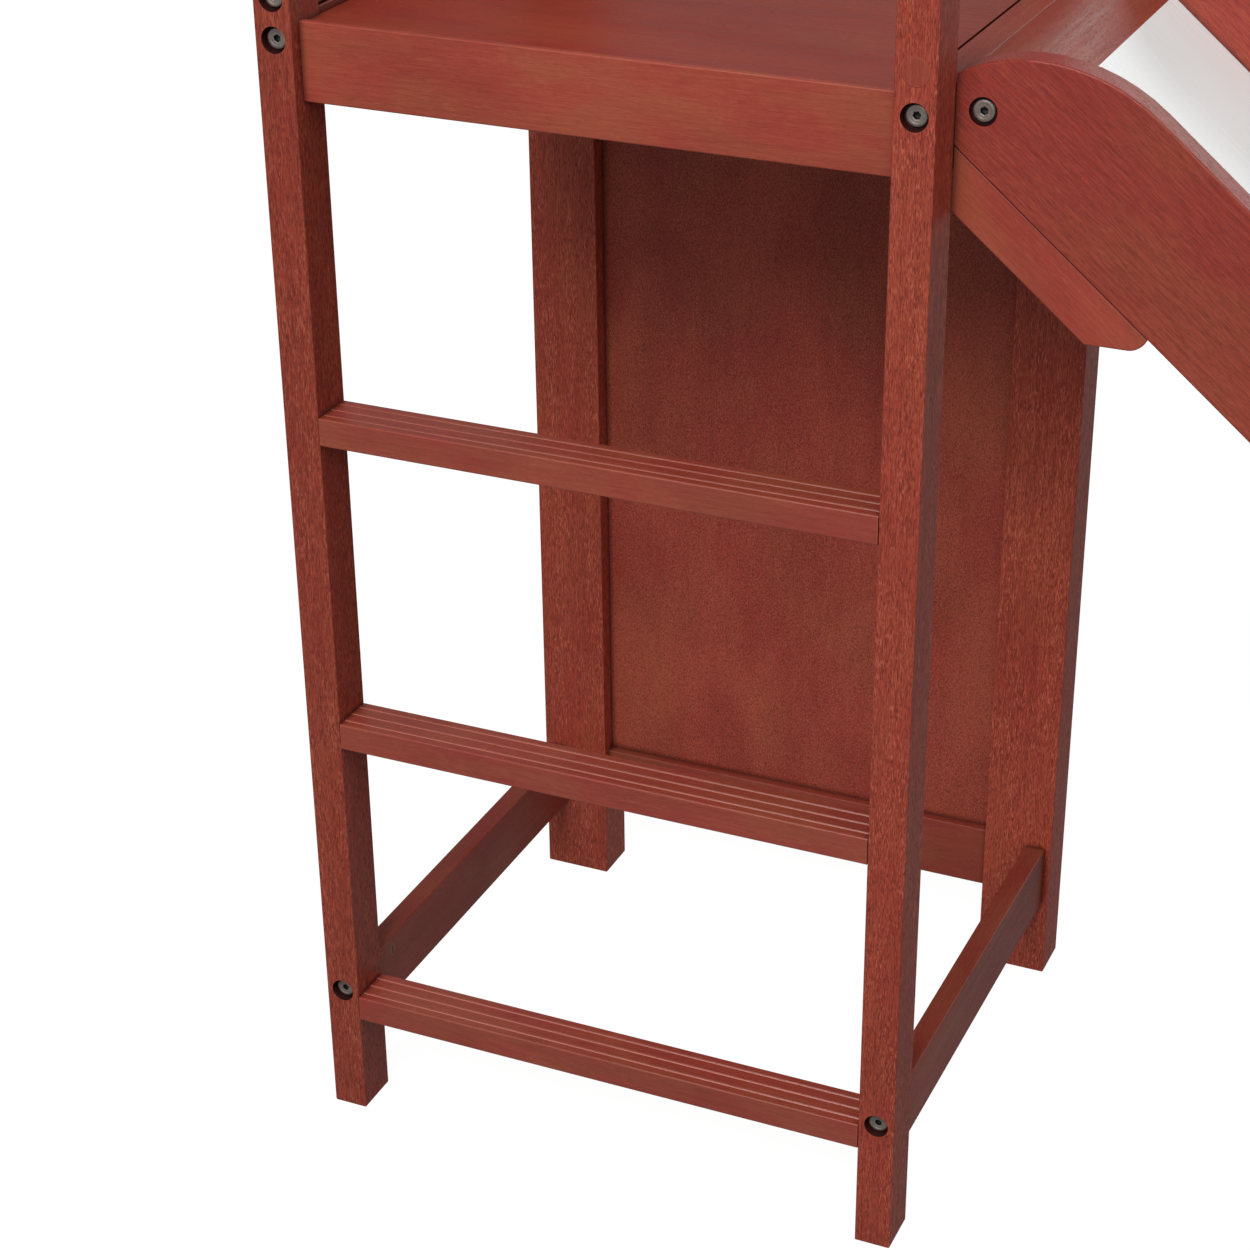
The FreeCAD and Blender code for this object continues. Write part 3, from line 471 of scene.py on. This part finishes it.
def add_bolt(bm, face, axis, length, turn):
    """One connector bolt in bm: face is the middle of the head's outer face."""
    a = axis.normalized()
    u = Vector((0, 0, 1)) if abs(a.z) < 0.5 else Vector((1, 0, 0))
    u = Matrix.Rotation(turn, 3, a) @ u
    w = a.cross(u)
    N = 48

    def ring(r, d):
        return [bm.verts.new(face + a * d + (u * math.cos(2 * math.pi * k / N) + w * math.sin(2 * math.pi * k / N)) * r)
                for k in range(N)]

    def hexring(r, d, soft=0.0):
        vs = []
        for k in range(N):
            th = 2 * math.pi * k / N
            m = (th % (math.pi / 3)) - math.pi / 6
            flat = r * math.cos(math.pi / 6) / math.cos(m)
            rr = flat * (1 - soft) + r * soft
            vs.append(bm.verts.new(face + a * d + (u * math.cos(th) + w * math.sin(th)) * rr))
        return vs

    def skin(r1, r2, slot):
        for k in range(N):
            j = (k + 1) % N
            f = bm.faces.new((r1[k], r1[j], r2[j], r2[k]))
            f.material_index = slot

    # outside: shank end, thread core, neck, underside of the head, rim, crowned face, socket
    prof = [ring(0.0, length), ring(0.0030, length), ring(0.0039, length - 0.0010)]
    # the thread: fine rings over the last 16 mm
    z = length - 0.0010
    stop = max(length - 0.0170, 0.0060)
    while z - 0.00125 > stop:
        prof.append(ring(0.00330, z - 0.00062))
        prof.append(ring(0.00395, z - 0.00125))
        z -= 0.00125
    prof += [ring(0.00395, 0.0040), ring(0.0045, 0.0036), ring(0.0079, 0.0036), ring(0.0086, 0.0033),
             ring(0.0088, 0.0027), ring(0.0088, 0.0012), ring(0.00862, 0.0006), ring(0.00815, 0.00022),
             ring(0.0074, 0.00005), ring(0.0064, 0.0), ring(0.0061, 0.00005), ring(0.00585, 0.00034),
             ring(0.0056, 0.0004), ring(0.0050, 0.0004), ring(0.0044, 0.00042),
             hexring(HEX_R * 1.10, 0.00048, 0.6), hexring(HEX_R * 1.0, 0.00078), hexring(HEX_R * 0.985, 0.0052),
             hexring(HEX_R * 0.5, 0.0058), ring(0.0, 0.0062)]
    last = len(prof) - 1
    for k, (r1, r2) in enumerate(zip(prof, prof[1:])):
        skin(r1, r2, 1 if k >= last - 3 else 0)      # the socket's walls and floor take the near-black material: painted shade in the socket


def turned_bolts(node, name):
    rnd = random.Random(len(node) * 17)
    bm = bmesh.new()
    for co in islands(NODES[node]):
        lo = Vector((min(c.x for c in co), min(c.y for c in co), min(c.z for c in co)))
        hi = Vector((max(c.x for c in co), max(c.y for c in co), max(c.z for c in co)))
        size = hi - lo
        i = max(range(3), key=lambda k: size[k])
        mid = (lo + hi) / 2
        # the head is at the end with the widest ring
        j = (i + 1) % 3
        near_lo = max(abs(c[j] - mid[j]) for c in co if c[i] < lo[i] + 0.0045)
        near_hi = max(abs(c[j] - mid[j]) for c in co if c[i] > hi[i] - 0.0045)
        face, axis = mid.copy(), Vector((0, 0, 0))
        if near_lo > near_hi:
            face[i], axis[i] = lo[i], 1.0
        else:
            face[i], axis[i] = hi[i], -1.0
        add_bolt(bm, face, axis, size[i], rnd.uniform(0, 1.05))
    bmesh.ops.remove_doubles(bm, verts=bm.verts, dist=0.000004)
    bmesh.ops.recalc_face_normals(bm, faces=bm.faces)
    me = bpy.data.meshes.new(name)
    bm.to_mesh(me)
    bm.free()
    for p in me.polygons:
        p.use_smooth = True
    me.set_sharp_from_angle(angle=math.radians(38))
    o = bpy.data.objects.new(name, me)
    bpy.context.scene.collection.objects.link(o)
    me.materials.append(bronze)
    me.materials.append(socket_shade_mat)
    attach(o, "root")
    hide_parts(node)
    return o


turned_bolts("frame_connector_bolts", "frame_connector_bolts_turned")
turned_bolts("slide_side_bolts", "slide_side_bolts_turned")
turned_bolts("slide_mount_bolts", "slide_mount_bolts_turned")

# ------------------------------------------------------------- floor, light


def camera_only(o):
    o.visible_diffuse = False
    o.visible_glossy = False
    o.visible_transmission = False
    o.visible_volume_scatter = False
    o.visible_shadow = False


fm = bpy.data.meshes.new("floor")
bm = bmesh.new()
bmesh.ops.create_grid(bm, x_segments=1, y_segments=1, size=24.0)
bm.to_mesh(fm)
bm.free()
floor = bpy.data.objects.new("floor", fm)
bpy.context.scene.collection.objects.link(floor)
fmat = bpy.data.materials.new("floor_white")
ft = Tree(fmat)
fn = ft.noise(ft.scaled(ft.object_coords(), (3.0,) * 3), 1.0, 3.0)
ft.l(ft.mix(fn, (0.115, 0.115, 0.115), (0.125, 0.125, 0.125)), ft.bsdf.inputs["Base Color"])
ft.bsdf.inputs["Roughness"].default_value = 0.9
ft.bsdf.inputs["Specular IOR Level"].default_value = 0.0
ft.bsdf.inputs["Emission Color"].default_value = (1, 1, 1, 1)
ft.bsdf.inputs["Emission Strength"].default_value = 0.955
fm.materials.append(fmat)
camera_only(floor)

# a plain white surround beyond the floor, seen only by the camera
dm = bpy.data.meshes.new("surround")
bm = bmesh.new()
bmesh.ops.create_uvsphere(bm, u_segments=48, v_segments=24, radius=23.0)
bm.to_mesh(dm)
bm.free()
dome = bpy.data.objects.new("surround", dm)
bpy.context.scene.collection.objects.link(dome)
dmat = bpy.data.materials.new("surround_white")
dt = Tree(dmat)
dt.bsdf.inputs["Base Color"].default_value = (0.0, 0.0, 0.0, 1)
dt.bsdf.inputs["Specular IOR Level"].default_value = 0.0
dt.bsdf.inputs["Emission Color"].default_value = (1, 1, 1, 1)
dt.bsdf.inputs["Emission Strength"].default_value = 1.02
dm.materials.append(dmat)
camera_only(dome)


def area(name, way, dist, size, level, color=(1, 1, 1), target=(-0.75, 0.0, 0.65)):
    """A round soft light; level is the reflected radiance of a white card that faces it."""
    d = bpy.data.lights.new(name, "AREA")
    d.shape = "DISK"
    d.size = size
    d.energy = level * math.pi ** 2 * dist ** 2
    d.color = color
    o = bpy.data.objects.new(name, d)
    w = Vector(way).normalized()
    o.location = Vector(target) + w * dist
    o.rotation_mode = "QUATERNION"
    o.rotation_quaternion = (-w).to_track_quat("-Z", "Y")
    o.visible_camera = False
    bpy.context.scene.collection.objects.link(o)
    return o


area("key", (0.00, -0.72, 0.69), 6.0, 3.0, 0.73)
area("fill", (0.30, -0.80, 0.50), 7.0, 5.0, 0.18)
area("side", (0.66, -0.25, 0.70), 7.0, 4.0, 0.165)
area("back", (0.16, 0.96, 0.14), 7.0, 5.0, 0.26)
world = bpy.data.worlds.new("studio")
bpy.context.scene.world = world
world.use_nodes = True
bg = world.node_tree.nodes["Background"]
bg.inputs["Color"].default_value = (1.0, 1.0, 1.0, 1.0)
bg.inputs["Strength"].default_value = 0.25
bpy.context.scene.view_settings.view_transform = "Standard"
bpy.context.scene.view_settings.look = "None"
bpy.context.scene.view_settings.exposure = 0.0
